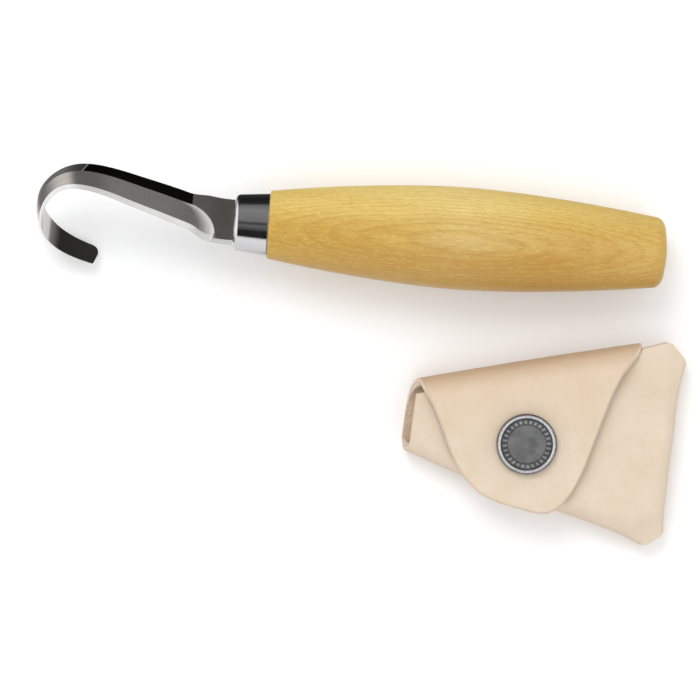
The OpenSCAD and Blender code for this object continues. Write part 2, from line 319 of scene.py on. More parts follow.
def birch():
    """Oiled birch whose growth rings lie nearly flat, so that the belly cuts them in long ovals."""
    s = Shader("birch", Specular_IOR_Level=0.42)
    slow = s.noise((0.016, 0.06, 0.06), "own", detail=2.5, twist=0.4)
    waves = s.noise((0.05, 0.25, 0.25), "own", move=(4, 1, 6), detail=2)
    fibre = s.noise((0.035, 2.6, 2.6), "own", detail=4, rough=0.62)
    streak = s.noise((0.05, 1.3, 1.3), "own", move=(5, 3, 8), rough=0.7)
    hair = s.noise((0.11, 9, 9), "own", detail=2)
    grain = s.noise((0.55, 2.7, 2.7), "own", move=(2, 6, 1), rough=0.7)
    patches = s.noise((0.022, 0.09, 0.09), "own", move=(3.1, 0.4, 1.7), rough=0.55)

    # The pith runs along the handle, above its visible face. depth counts rings from the palest.
    pith_up, palest_ring, ring_width = 31.0, 19.25, 0.92
    from_pith = s.points((0.004, 1, 1), "own", move=(0, -UP_Y * pith_up, -UP_Z * pith_up))
    radius = s.linear(waves, 0.7, s.linear(slow, 3.0, s.vector_math("LENGTH", from_pith)))
    depth = s.linear(radius, 1 / ring_width, -palest_ring / ring_width)
    layer = s.math("MULTIPLY", depth, 0.2)
    ring_line = s.ramp(s.math("FRACT", depth), (0, 0.25), (0.15, 0.0), (0.5, 0.1), (0.82, 0.7),
                       (0.93, 1.0), (1, 0.25))
    faint = s.noise((0.03, 0.16, 0.16), "own", move=(7, 2, 5), detail=2)
    faint = s.math("MULTIPLY", s.ramp(faint, (0.3, 0.45), (0.65, 1.0)),
                   s.ramp(streak, (0.3, 1.0), (0.65, 0.55)))
    line = s.math("MULTIPLY", s.math("MULTIPLY", ring_line, faint), 0.60)
    # painted light and shade: the wood is painted paler on the side towards +Y of the scene, the
    # outside of the hook, and browner on the side of the edge; the slow noise adds real tone to it
    side = s.math("ADD", slow, s.math("SUBTRACT", s.sideways(12), 0.5))
    painted_shade_side_and_tone = s.math("MULTIPLY", side, -1.0)
    fleck = s.node("ShaderNodeTexVoronoi", {
        "Vector": s.points((0.30, 1.5, 1.5), "own", move=(1.3, 0, 0)), "Scale": 1.0}, "Distance")
    rare = s.noise((0.11, 0.35, 0.35), "own", move=(9, 4, 2), detail=2)
    fleck = s.math("MULTIPLY", s.ramp(fleck, (0.05, 1.0), (0.20, 0.0)),
                   s.ramp(rare, (0.54, 0.0), (0.66, 0.6)))

    wood = s.ramp(fibre, (0.28, (0.50, 0.305, 0.060)), (0.46, (0.565, 0.37, 0.085)),
                  (0.60, (0.61, 0.42, 0.115)), (0.76, (0.65, 0.475, 0.155)))
    # each tint is a value, the stops of a ramp that makes it a mask, and a colour
    tints = (
        (layer, (0.0, 0.6), (0.22, 0.0), (0.64, 0.475, 0.215)),
        (layer, (0.25, 0.0), (0.5, 0.55), (0.8, 0.35), (1.0, 0.0), (0.495, 0.28, 0.047)),
        (patches, (0.42, 0.0), (0.66, 0.5), (0.47, 0.26, 0.047)),
        (patches, (0.28, 0.5), (0.46, 0.0), (0.67, 0.51, 0.22)),
        # the next two tints are painted light and painted shade on the two sides, varied by real
        # tone
        (side, (0.05, 0.0), (0.85, 0.8), (0.80, 0.655, 0.25)),
        (painted_shade_side_and_tone, (0.1, 0.0), (0.95, 0.6), (0.43, 0.245, 0.07)),
        (line, (0.415, 0.20, 0.033)),
        (streak, (0.55, 0.0), (0.78, 0.16), (0.74, 0.60, 0.30)),
        (streak, (0.27, 0.25), (0.45, 0.0), (0.42, 0.24, 0.05)),
        (hair, (0.42, 0.22), (0.62, 0.0), (0.39, 0.215, 0.05)),
        (grain, (0.32, 0.34), (0.5, 0.0), (0.42, 0.235, 0.05)),
        (grain, (0.54, 0.0), (0.7, 0.3), (0.80, 0.62, 0.24)),
        (fleck, (0.27, 0.12, 0.03)),
    )
    for mask, *stops, colour in tints:
        wood = s.mix(s.ramp(mask, *stops) if stops else mask, wood, colour)
    # towards the two ends the wood is tinted yellower, and towards the butt it is also painted
    # darker, a painted shade
    butt_at = 112
    along = s.node("ShaderNodeSeparateXYZ", {0: s.points((1 / butt_at, 1, 1), "own")}, "X")
    end_tint_and_shade = s.ramp(along, (0.10, (1.0, 0.99, 0.78)), (0.36, (0.99, 0.97, 0.83)),
                 (0.52, (0.98, 0.98, 0.95)), (0.70, (0.93, 0.87, 0.68)), (1.0, (0.92, 0.85, 0.66)))
    s.set("Base Color", s.mix(1.0, wood, end_tint_and_shade, blend="MULTIPLY"))
    s.set("Roughness", s.linear(fibre, 0.16, 0.36))
    s.bump(hair, 0.035, 0.5)
    s.bump(s.math("SUBTRACT", fibre, s.math("MULTIPLY", line, 0.5)), 0.05, 0.4)
    return s.material


def chrome():
    """Bright plated sheet metal with fine scratches round it, painted darker on the side towards -Y
    as a painted shade.
    """
    s = Shader("chrome", Metallic=1.0)
    scratch = s.noise((14, 0.5, 0.5), "own", rough=0.6)
    smear = s.noise(0.25, "own")
    # painted shade: the colour gets darker towards -Y of the scene and is darkest at that edge
    s.set("Base Color", s.ramp(
        s.sideways(-8), (0.35, (0.86, 0.86, 0.87)), (0.62, (0.70, 0.70, 0.71)),
        (0.86, (0.66, 0.66, 0.67)), (0.98, (0.42, 0.42, 0.43))))
    s.set("Roughness", s.linear(s.math("MULTIPLY", scratch, smear), 0.22, 0.035))
    s.bump(scratch, 0.004, 0.35)
    s.bump(smear, 0.03, 0.5)
    return s.material


def steel(name, colour, rough, lines, depth):
    """Ground steel: lines is how many grinding lines there are to a millimetre along the strip."""
    s = Shader(name, Metallic=1.0)
    grinding = s.noise((lines, 0.35, 0.35), "strip", rough=0.65)
    polish = s.noise((0.12, 2.2, 2.2), "strip", detail=4, rough=0.55)
    cloud = s.noise((0.16, 0.3, 0.3), "strip")
    tone = s.linear(s.math("ADD", grinding, polish), 0.5, s.math("MULTIPLY", cloud, 0.3))
    s.set("Base Color", s.ramp(tone, (0.42, shade(colour, 0.8)), (0.85, colour)))
    s.set("Roughness", s.linear(grinding, rough * 0.5, rough * 0.72))
    s.bump(grinding, depth)
    s.bump(cloud, depth * 3, 0.5)
    return s


def spine_band():
    """The band along the spine, painted near black as a painted dark reflection up to a slanting
    pale line, and past it ground less finely, lighter and rougher.
    """
    # near is a painted dark reflection: the band's colour up to the slanting line
    near, mark, far = (0.075, 0.072, 0.066), (0.72, 0.71, 0.69), (0.27, 0.26, 0.25)
    s = steel("steel_band", near, 0.2, 5, 0.006)
    mark_at, slant, reach = 42.5, (1, -0.5, 0), 10
    place = s.vector_math("DOT_PRODUCT", s.stored("strip", "Vector"), slant)
    past = s.linear(place, 1 / reach, 0.5 - mark_at / reach)
    stops = (0.488, 0.5, 0.515, 0.53)
    s.set("Base Color", s.ramp(past, *zip(stops, (near, mark, mark, far))))
    s.set("Roughness", s.ramp(past, *zip(stops, (0.14, 0.9, 0.9, 0.42))))
    return s.material


RICASSO_COLOUR = (0.64, 0.59, 0.54)


def main_bevel():
    """The wide ground bevel, with a painted highlight, matt and near white, where the wheel ran
    out, and unground before that.
    """
    s = steel("steel_bevel", (0.615, 0.57, 0.545), 0.24, 9, 0.012)
    ground_for = s.math("MULTIPLY", s.stored("runout"), 0.2)
    # bright is a painted highlight: a near white, less metallic band just past where the grinding
    # starts, fading over some millimetres
    bright = s.ramp(ground_for, (0.052, 0.0), (0.070, 1.0), (0.4, 0.75), (1.0, 0.0))
    before = s.ramp(ground_for, (0.052, 1.0), (0.070, 0.0))
    colour = s.mix(before, s.source("Base Color"), shade(RICASSO_COLOUR, 0.93))
    rough = s.linear(before, 0.16, s.source("Roughness"))
    s.set("Base Color", s.mix(bright, colour, (0.97, 0.965, 0.955)))
    s.set("Roughness", s.linear(bright, 0.42, rough))
    s.set("Metallic", s.linear(bright, -0.35, 1.0))
    return s.material


def edge_bevel():
    """The narrow honed bevel behind the cutting edge, bright and finely scratched."""
    s = steel("steel_edge", (0.87, 0.86, 0.85), 0.34, 14, 0.010)
    s.set("Metallic", 0.55)
    return s.material


def leather_grain():
    """The smooth side of natural vegetable-tanned leather, browner over the top fold and towards
    the pocket's rounded edges, partly burnish and partly painted shade.
    """
    s = Shader("leather_grain", Specular_IOR_Level=0.34, Sheen_Weight=0.06, Sheen_Roughness=0.5)
    mottle = s.noise(0.13, "leaf", detail=4, rough=0.6)
    fibres = s.noise((0.9, 0.5, 0.9), "leaf", turn=(0, 0, 25), detail=4, rough=0.65, twist=0.6)
    pores = s.node("ShaderNodeTexVoronoi", {"Vector": s.points(1, "leaf"), "Scale": 2.6},
                   "Distance", feature="DISTANCE_TO_EDGE")
    creases = s.ramp(pores, (0.0, 0.0), (0.09, 1.0))
    colour = s.ramp(mottle, (0.30, (0.640, 0.517, 0.390)), (0.52, (0.666, 0.549, 0.424)),
                    (0.74, (0.688, 0.578, 0.460)))
    colour = s.mix(s.ramp(fibres, (0.56, 0.0), (0.74, 0.25)), colour, (0.56, 0.43, 0.30))
    burnish_and_shade = s.stored("burnish_and_shade")
    # the stored value darkens the leather brown over the fold and the rounded edges: partly
    # burnish, partly painted shade
    colour = s.mix(s.math("MULTIPLY", burnish_and_shade, s.linear(mottle, 0.5, 0.35)), colour,
                   (0.50, 0.315, 0.165))
    colour = s.mix(s.ramp(creases, (0.0, 0.10), (1.0, 0.0)), colour, (0.45, 0.32, 0.20))
    s.set("Base Color", colour)
    s.set("Roughness", s.linear(mottle, 0.2, 0.42))
    s.bump(creases, 0.03, 0.45)
    s.bump(fibres, 0.07, 0.4)
    s.bump(mottle, 0.5, 0.3)
    return s.material


def leather_flesh():
    """The rough inner side of the leather."""
    s = Shader("leather_flesh", Roughness=0.95, Specular_IOR_Level=0.2, Sheen_Weight=0.25)
    nap = s.noise((2.2, 1.3, 2.2), "leaf", detail=5, rough=0.7, twist=0.8)
    clumps = s.noise(0.45, "leaf")
    colour = s.ramp(nap, (0.30, (0.47, 0.34, 0.235)), (0.52, (0.62, 0.475, 0.345)),
                    (0.74, (0.74, 0.60, 0.46)))
    s.set("Base Color", s.mix(s.ramp(clumps, (0.4, 0.0), (0.7, 0.35)), colour, (0.52, 0.38, 0.27)))
    s.bump(nap, 0.22, 0.7)
    return s.material


def leather_edge():
    """The raw cut edge: pale packed fibres between two denser skins."""
    s = Shader("leather_edge", Roughness=0.88, Specular_IOR_Level=0.22)
    depth = s.stored("depth")
    fray = s.noise(2.6, "leaf", detail=4, rough=0.7)
    level = s.linear(s.math("SUBTRACT", fray, 0.5), 0.28, depth)
    colour = s.ramp(level, (0.0, (0.62, 0.45, 0.30)), (0.16, (0.72, 0.575, 0.455)),
                    (0.40, (0.72, 0.60, 0.50)), (0.52, (0.47, 0.35, 0.27)),
                    (0.62, (0.71, 0.60, 0.50)), (0.9, (0.60, 0.46, 0.34)))
    s.set("Base Color", s.mix(s.ramp(fray, (0.35, 0.35), (0.6, 0.0)), colour, (0.45, 0.34, 0.25)))
    s.bump(fray, 0.2, 0.7)
    return s.material


def snap_plate(name, colour, rough):
    """Nickel plate darkened by age, a little brighter where it is rubbed."""
    s = Shader(name, Metallic=1.0)
    cloud = s.noise(0.35, detail=4, rough=0.6)
    grit = s.noise(5, rough=0.65)
    dark = shade(colour, 0.62)
    s.set("Base Color", s.mix(s.ramp(grit, (0.5, 0.0), (0.75, 0.35)),
                              s.ramp(cloud, (0.32, dark), (0.68, colour)), dark))
    s.set("Roughness", s.linear(grit, 0.18, rough))
    s.bump(grit, 0.014, 0.6)
    s.bump(cloud, 0.05, 0.4)
    return s.material


def clouded(s, cloud, low, high, rough, bump):
    """Finishes a material whose colour, roughness and bump all follow one noise."""
    s.set("Base Color", s.ramp(cloud, low, high))
    s.set("Roughness", s.linear(cloud, *rough))
    s.bump(cloud, *bump)
    return s.material


def plain_metal(name, colour, rough):
    s = Shader(name, Metallic=1.0)
    return clouded(s, s.noise(3), (0.3, shade(colour, 0.75)), (0.7, colour), (0.2, rough),
                   (0.01, 0.4))


def rim_metal():
    """The rubbed rim of the snap's cap."""
    s = Shader("snap_rim_metal", Metallic=0.72)
    return clouded(s, s.noise(1.6, detail=4, rough=0.6), (0.35, (0.70, 0.70, 0.72)),
                   (0.6, (0.95, 0.95, 0.96)), (0.2, 0.36), (0.02, 0.3))


def adhesive():
    s = Shader("adhesive", Specular_IOR_Level=0.4)
    return clouded(s, s.noise(0.5, detail=4), (0.3, (0.58, 0.50, 0.32)),
                   (0.7, (0.78, 0.72, 0.55)), (0.3, 0.4), (0.1, 0.4))


# ---------- handle and ferrule ----------

HANDLE_LEN, HANDLE_THICK, HANDLE_BROAD = 103.6, 24.6, 28.6
BELLY_AT, BELLY_POWER, NOSE_SHARE, BUTT_SHARE = 50.0, 1.7, 0.66, 0.655
FERRULE_LEN, FERRULE_FRONT, FERRULE_BACK, FERRULE_OVAL, FERRULE_WALL = 9.0, 13.8, 15.4, 1.11, 0.7
CAP_THICK = 1.1
TANG_LEN, TANG_WIDTH, STRIP_THICK = 54.0, 9.2, 1.7
SIDES = 96


def handle_half(d):
    """Half thickness of the handle, a distance behind the ferrule."""
    nose = d < BELLY_AT
    drop = 1 - (NOSE_SHARE if nose else BUTT_SHARE)
    span = BELLY_AT if nose else HANDLE_LEN - BELLY_AT
    return HANDLE_THICK / 2 * (1 - drop * (abs(d - BELLY_AT) / span) ** BELLY_POWER)


def oval(x, half_thick, half_broad):
    angle = np.linspace(0, 2 * math.pi, SIDES, endpoint=False)
    return np.column_stack((np.full(SIDES, x), half_thick * np.cos(angle),
                            half_broad * np.sin(angle)))


def handle_ring(d, depth=0.0):
    half = handle_half(d) - depth
    return oval(FERRULE_LEN + d, half, half * HANDLE_BROAD / HANDLE_THICK)


def ferrule_ring(x, depth=0.0):
    half = (FERRULE_FRONT + (FERRULE_BACK - FERRULE_FRONT) * x / FERRULE_LEN) / 2
    return oval(x, half - depth, half * FERRULE_OVAL - depth)


def make_handle():
    nose_round, butt_round, butt_crown = 0.45, 3.0, 0.6
    # the tenon that fills the ferrule, then the shoulder behind it
    wall = FERRULE_WALL + 0.02
    rings = [ferrule_ring(CAP_THICK + 0.1, wall), ferrule_ring(FERRULE_LEN - 0.2, wall),
             ferrule_ring(FERRULE_LEN - 0.02, -0.05)]
    for angle in np.radians(np.arange(15, 90, 15)):
        rings.append(handle_ring(nose_round * (1 - math.cos(angle)),
                                 nose_round * (1 - math.sin(angle))))
    end = HANDLE_LEN - butt_round
    rings += [handle_ring(d) for d in np.linspace(nose_round, end, 110)]
    for angle in np.radians(np.arange(6, 91, 6)):
        rings.append(handle_ring(end + (butt_round - butt_crown) * math.sin(angle),
                                 butt_round * (1 - math.cos(angle))))
    rim = rings[-1]
    for share in (0.86, 0.68, 0.48, 0.28, 0.1):
        ring = rim * (1, share, share)
        ring[:, 0] += butt_crown * (1 - share ** 2)
        rings.append(ring)
    piece = make_piece("handle_wood", *loft(rings), KNIFE, [birch()], sharp=50)
    slot_half = 1.3, (TANG_WIDTH + 1.4) / 2
    cut_away(piece, (-1, -slot_half[0], -slot_half[1]), (TANG_LEN + 2, *slot_half))
    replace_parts(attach(settle(piece), "knife"), "handle")


def make_ferrule():
    rim, lip = 1.3, 0.12
    rings = []
    for angle in np.radians(np.arange(90, -1, -9)):
        rings.append(ferrule_ring(rim * (1 - math.sin(angle)), rim * (1 - math.cos(angle))))
    back = FERRULE_LEN - 0.15
    rings += [ferrule_ring(x) for x in np.linspace(rim + 0.4, back - lip, 14)]
    rings += [ferrule_ring(back - lip * 0.3, lip * 0.3), ferrule_ring(back, lip),
              ferrule_ring(back, FERRULE_WALL), ferrule_ring(CAP_THICK, FERRULE_WALL)]
    piece = make_piece("ferrule_sleeve", *loft(rings), KNIFE, [chrome()], sharp=40)
    slot_half = STRIP_THICK / 2 + 0.1, TANG_WIDTH / 2 + 0.2
    cut_away(piece, (-1, -slot_half[0], -slot_half[1]), (3, *slot_half))
    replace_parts(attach(settle(piece), "knife"), "ferrule")


# ---------- blade ----------

# Along the steel strip, from the ferrule: its turn in degrees a millimetre, and its half widths
STRIP_LEN, STRIP_STEPS = 84.0, 68
STRIP_TURN = [[0, 2], [6.5, 3.2], [13, -0.8], [25, 0.2], [35, -1.5], [43, -5.9], [53, -3.75],
              [67, -4.45], [84, -0.25]]
SPINE_HALF = [[0, 7.2], [7, 7.3], [12, 5.6], [42, 4.4], [52, 3.6], [60, 3.8], [68, 4.6], [84, 3.2]]
EDGE_HALF = [[0, 7.8], [7.6, 7.9], [9.4, 6.9], [11, 6.0], [16, 6.0], [29, 5.2], [40, 3.9],
             [48, 2.3], [52, 2.3], [56, 2.9], [62, 4.2], [84, 3.4]]
BAND_SHARE, EDGE_SHARE, EDGE_THICK, EDGE_FLAT = 0.36, 0.118, 0.8, 0.12
# The sides of a section of the strip: the outer face from spine to edge, then the inner face
BAND_STEPS, BEVEL_STEPS, EDGE_STEPS, INNER_STEPS = 6, 16, 4, 12
SIDES_OF_STRIP = (["band"] * (1 + BAND_STEPS) + ["bevel"] * BEVEL_STEPS + ["edge"] * EDGE_STEPS
                  + ["side"] + ["inner"] * (1 + INNER_STEPS) + ["side"])
# How far along the strip each finish of the outer face starts; the ricasso is nearer the ferrule
FINISH_FROM = {"band": 11.6, "bevel": 2.0, "edge": 5.2}


def strip_line(count):
    """Evenly spaced points along the strip's centre line, and the way out of the hook at each."""
    step = STRIP_LEN / STRIP_STEPS
    x, y, a = -0.05, 0.3, 0.0
    nodes = [(x, y)]
    for i in range(STRIP_STEPS):
        x -= step * math.cos(math.radians(a))
        y += step * math.sin(math.radians(a))
        a += step * float(lookup(STRIP_TURN, step * (i + 0.5)))
        nodes.append((x, y))
    line = spline(nodes, count)
    along = np.gradient(line, axis=0)
    along /= np.linalg.norm(along, axis=1)[:, None]
    outward = np.column_stack((along[:, 1], -along[:, 0]))
    return line, outward


def eased(table, s):
    """A table's value, with its corners rounded over about a millimetre each way."""
    reach = 1.1 * min(1.0, (STRIP_LEN - s) / 2)
    return float(np.mean(lookup(table, s + reach * np.linspace(-1, 1, 9))))


def blade_section(s):
    """Points (outward, towards the edge) round the strip, at a distance along it."""
    half = STRIP_THICK / 2
    ease = 0.14
    # the end is cut on a slant, and its corner on the side of the spine is rounded
    corner, slant, slant_depth = 1.7, 1.1, 3.9
    end = STRIP_LEN - s
    left = max(0.0, corner - end)
    spine = eased(SPINE_HALF, s) - (corner - math.sqrt(corner ** 2 - left ** 2))
    edge = eased(EDGE_HALF, s) - slant_depth * max(0.0, 1 - end / slant)
    width = spine + edge
    band_end = -spine + width * BAND_SHARE
    edge_start = edge - width * EDGE_SHARE
    points = [(half - ease, -spine), (half, -spine + ease)]
    points += [(half, w) for w in np.linspace(-spine + ease, band_end, BAND_STEPS + 1)[1:]]
    for w in np.linspace(band_end, edge_start, BEVEL_STEPS + 1)[1:]:
        t = (w - band_end) / (edge_start - band_end)
        points.append((half - ground(s, t) * (STRIP_THICK - EDGE_THICK) * t, w))
    full = ground(s, 1.0)
    for w in np.linspace(edge_start, edge, EDGE_STEPS + 1)[1:]:
        t = (w - edge_start) / (edge - edge_start)
        drop = STRIP_THICK - EDGE_THICK + (EDGE_THICK - EDGE_FLAT) * t
        points.append((half - full * drop, w))
    points += [(-half, w) for w in np.linspace(edge, -spine + ease, INNER_STEPS + 1)]
    points.append((-half + ease, -spine))
    return np.array(points)


def plunge_at(t):
    """Where the grinding starts, t of the way across the bevel, on a quarter round."""
    nearest, reach = 4.6, 6.4
    return nearest + reach * (1 - math.sqrt(max(1 - (1 - t) ** 2, 0.0)))


def ground(s, t):
    """How far the main bevel is ground at a distance along the strip, t of the way across it."""
    runout = 1.5
    return float(smoothstep(plunge_at(t), plunge_at(t) + runout, s))


def make_blade():
    count = 337
    line, outward = strip_line(count)
    size = len(SIDES_OF_STRIP)
    rings, stored = [], []
    # the tang has three sections, each at (x, half width)
    base_half, tang_tip_half = 7.45, 2.5
    tang = ((TANG_LEN, tang_tip_half), (TANG_LEN - 6, TANG_WIDTH / 2), (-0.02, TANG_WIDTH / 2))
    for x, half_width in tang:
        shape = blade_section(0.0) * (1, half_width / base_half)
        rings.append(np.column_stack((np.full(size, x), shape)))
        stored.append(rings[-1] * (-1, 1, 1))
    places = STRIP_LEN * np.arange(count) / (count - 1)
    for i, s in enumerate(places):
        points = blade_section(s)
        xy = line[i] + points[:, :1] * outward[i]
        rings.append(np.column_stack((xy, points[:, 1])))
        stored.append(np.column_stack((np.full(size, s), points[:, 1], points[:, 0])))
    kinds = []
    for s in [0.0] * len(tang) + list(places[:-1]):
        kinds += ["ricasso" if s <= FINISH_FROM.get(kind, -1) else kind for kind in SIDES_OF_STRIP]
    kinds += ["ricasso", "side"]
    finishes = {
        "band": spine_band(),
        "bevel": main_bevel(),
        "edge": edge_bevel(),
        "inner": steel("steel_inner", (0.62, 0.60, 0.585), 0.13, 3, 0.006).material,
        "ricasso": steel("steel_ricasso", RICASSO_COLOUR, 0.42, 4, 0.008).material,
        "side": steel("steel_side", (0.7, 0.69, 0.68), 0.25, 6, 0.01).material,
    }
    names = list(finishes)
    piece = make_piece("blade_strip", *loft(rings), KNIFE, finishes.values(),
                       [names.index(kind) for kind in kinds], sharp=4.5)
    stored = np.concatenate(stored)
    set_points(piece, "strip", stored)
    first_of_bevel = 2 + BAND_STEPS
    across = (np.arange(size) - first_of_bevel + 0.5) / BEVEL_STEPS
    plunge = np.array([plunge_at(t) for t in np.clip(across, 0, 1)])
    set_points(piece, "runout", stored[:, 0] - np.tile(plunge, len(rings)))
    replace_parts(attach(settle(piece), "knife"), "blade")


# ---------- leather ----------

LEATHER = 2.1
FOLD_R = 7.7
BODY_TOP, BODY_MIDDLE = 12.0, 5.4


def corner_normals(verts, faces):
    """Vertex normals of a sheet, weighted by the area of its faces."""
    normals = np.zeros_like(verts)
    for face in faces:
        p = verts[list(face)]
        n = np.zeros(3)
        for a, b in zip(p[1:-1], p[2:]):
            n += np.cross(a - p[0], b - p[0])
        normals[list(face)] += n
    return normals / np.linalg.norm(normals, axis=1)[:, None]


def thicken(verts, faces, thickness, rim_steps=5, bulge=0.22, slant=None):
    """Gives a sheet its thickness on the side away from its normals. Its cut edge bulges, and leans
    outward by a distance given for each vertex. Returns vertices, faces, the kind of each face
    (0 outside, 1 inside, 2 cut edge), and each vertex's depth from 0 outside to 1 inside."""
    normals = corner_normals(verts, faces)
    inner = verts - normals * thickness[:, None]
    count = len(verts)
    slant = np.zeros(count) if slant is None else slant
    edges = [edge for face in faces for edge in zip(face, face[1:] + face[:1])]
    known = set(edges)
    border = [(a, b) for a, b in edges if (b, a) not in known]
    outward = {}
    for a, b in border:
        side = np.cross(verts[b] - verts[a], normals[a] + normals[b])
        side /= max(np.linalg.norm(side), 1e-9)
        for v in (a, b):
            outward[v] = outward.get(v, 0) + side
    all_verts = [verts, inner]
    depth = [np.zeros(count), np.ones(count)]
    row = {v: [v] for v in outward}
    extra = 2 * count
    for v, side in outward.items():
        side = side / max(np.linalg.norm(side), 1e-9)
        shares = np.arange(1, rim_steps) / rim_steps
        push = bulge * (1 - (2 * shares - 1) ** 2) + slant[v] * shares
        inner[v] += slant[v] * side
        rim = verts[v] - np.outer(shares, normals[v] * thickness[v]) + np.outer(push, side)
        all_verts.append(rim)
        depth.append(shares)
        row[v] += list(range(extra, extra + rim_steps - 1)) + [count + v]
        extra += rim_steps - 1
    new_faces = list(faces) + [tuple(count + v for v in reversed(face)) for face in faces]
    kinds = [0] * len(faces) + [1] * len(faces)
    for a, b in border:
        for k in range(rim_steps):
            new_faces.append((row[b][k], row[a][k], row[a][k + 1], row[b][k + 1]))
            kinds.append(2)
    return np.concatenate(all_verts), new_faces, kinds, np.concatenate(depth)


def near_snap(x, y, inner, outer):
    """1 inside the inner radius round the snap, falling to 0 at the outer radius."""
    return 1 - smoothstep(inner, outer, np.hypot(x - SNAP_AT[0], y - SNAP_AT[1]))


def flap_point(x, q):
    """From the flat leather to its folded place. q is the distance from the outermost line of the
    fold, down the flap if it is positive and round to the back panel if it is negative."""
    quarter = FOLD_R * math.pi / 2
    turn = np.clip(q, -quarter, quarter) / FOLD_R
    y = -FOLD_R * (1 - np.cos(turn)) - np.maximum(q - quarter, 0)
    z = FOLD_R * (1 + np.sin(turn))
    down = np.maximum(q - quarter, 0)
    side = (x - SNAP_AT[0]) / 24
    # the flap sags towards its edges and tip, and the snap draws it in
    z = z - 0.55 * smoothstep(0, 26, down) * np.minimum(side ** 2, 1.6)
    z = z - 0.45 * smoothstep(14, 34, down)
    z = z - 0.28 * (near_snap(x, y, 8.2, 12.5)) * (1 - near_snap(x, y, 5.0, 7.6))
    # slight hollows where the fold was pressed, fuller in its middle
    swell = np.cos(np.clip((x - 30) / 32, -1, 1) * math.pi / 2)
    y = y - 0.25 * (1 - swell) * np.cos(turn) * (turn != 0)
    return np.stack((x, y, z), -1)


def q_of(y):
    """Distance down the leather of a point that the top view shows at y on the upper side."""
    if y > -FOLD_R:
        return FOLD_R * math.acos(1 + y / FOLD_R)
    return FOLD_R * math.pi / 2 - FOLD_R - y


# The flap's outline in the top view, and where its ends meet the back panel
FLAP_LEFT = [(0.4, 0), (1.4, -1.8), (3.4, -8.2), (4.7, -14), (6.1, -21.3), (8.3, -27.2),
             (11.3, -31.8)]
FLAP_TIP = [(11.3, -31.8), (15.2, -34.6), (20.5, -37.2), (25.9, -39.4), (27.4, -39.75),
            (29.4, -39.2), (31.8, -37.9), (34.7, -35.4)]
FLAP_RIGHT = [(58.9, 0), (58.2, -1), (55, -4.4), (52, -8), (49.4, -11.6), (46.6, -16.2),
              (42.7, -23), (36.9, -32.6), (34.7, -35.4)]
FOLD_BACK = (-3.95, 58.8)


def make_flap(materials):
    quarter = FOLD_R * math.pi / 2
    left, tip, right = ([(x, q_of(y)) for x, y in line]
                        for line in (FLAP_LEFT, FLAP_TIP, FLAP_RIGHT))
    left = [(FOLD_BACK[0], -quarter), (-2.0, -quarter / 2)] + left
    right = [(FOLD_BACK[1], -quarter), (59.0, -quarter / 2)] + right
    rows, columns = 150, 110
    top = np.linspace((FOLD_BACK[0], -quarter), (FOLD_BACK[1], -quarter), columns)
    flat = coons(top, spline(tip, columns), spline(left, rows), spline(right, rows))
    x, q = flat[..., 0].ravel(), flat[..., 1].ravel()
    verts = flap_point(x, q)
    faces = grid_faces(rows, columns)
    # the socket is let into the flap's inner side
    thickness = LEATHER - 1.02 * near_snap(x, verts[:, 1], 6.1, 7.0) * (q > 0)
    slant = 0.5 * smoothstep(0, 9, q)
    solid, faces, kinds, depth = thicken(verts, faces, thickness, slant=slant)
    piece = make_piece("sheath_flap_leather", solid, faces, SHEATH, materials, kinds, sharp=42)
    turn = np.arctan2(solid[:, 2] - FOLD_R, solid[:, 1] + FOLD_R)
    # browner over the fold: partly burnish, partly painted shade; then a broad, weaker painted
    # shade down the flap from the fold
    burnish_and_shade = 0.78 * (1 - smoothstep(0.3, 1.4, np.abs(turn))) * smoothstep(-16, -7, solid[:, 1])
    burnish_and_shade += 0.2 * (1 - smoothstep(8, 30, -solid[:, 1]))
    store_leather(piece, solid, depth, burnish_and_shade)
    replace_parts(piece, "sheath_flap")
    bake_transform(piece)


def store_leather(piece, solid, depth, burnish_and_shade):
    set_points(piece, "leaf", solid)
    set_points(piece, "depth", depth)
    set_points(piece, "burnish_and_shade", burnish_and_shade)


# The pocket, drawn on past the mouth at the left and past the top, before it is cut to shape
POCKET_BOTTOM = [(-23, -8.2), (-6.1, -18.4), (8.9, -28.0), (24, -36.6), (38.6, -44.5),
                 (47.2, -49.6), (51.1, -52.7), (55.6, -56.4)]
POCKET_RIGHT = [(56.8, -55.8), (57.2, -50.4), (60.5, -36.6), (63.4, -26.9), (67.0, -14.4),
                (70.35, -6.6), (74, 3), (77, 14)]
POCKET_FAR = [(77, 20), (-23, 20), (-23, -8.2)]


def pocket_outline():
    bottom = spline(POCKET_BOTTOM, 130)
    right = spline(POCKET_RIGHT, 110)
    far = np.array(POCKET_FAR)
    top = np.linspace(far[0], far[1], 60)
    left = np.linspace(far[1], far[2], 24)[1:-1]
    return np.concatenate((bottom, right, top, left))


def stud_seat(x, y):
    """How deep the front panel is pressed in round the stud."""
    return 0.87 * near_snap(x, y, 5.7, 7.4)


def pocket_top(x, y):
    """Height of the front panel: full over the snap, and pinched at the two cut corners."""
    low = np.hypot(x - 54.5, y + 52.5)
    high = np.hypot(x - 69.5, y + 3.0)
    z = BODY_TOP - 4.4 * np.exp(-(low / 7.5) ** 2) - 3.8 * np.exp(-(high / 8.0) ** 2)
    z = z - 0.5 * smoothstep(8, 34, np.hypot(x - SNAP_AT[0], y - SNAP_AT[1]))
    return z - stud_seat(x, y)


def distance_to(line, points):
    """Distance of each point from a line through many places."""
    a, b = line[:-1], line[1:]
    d = b - a
    t = ((points[:, None] - a) * d).sum(2) / (d ** 2).sum(1)
    near = a + np.clip(t, 0, 1)[..., None] * d
    return np.linalg.norm(points[:, None] - near, axis=2).min(1)


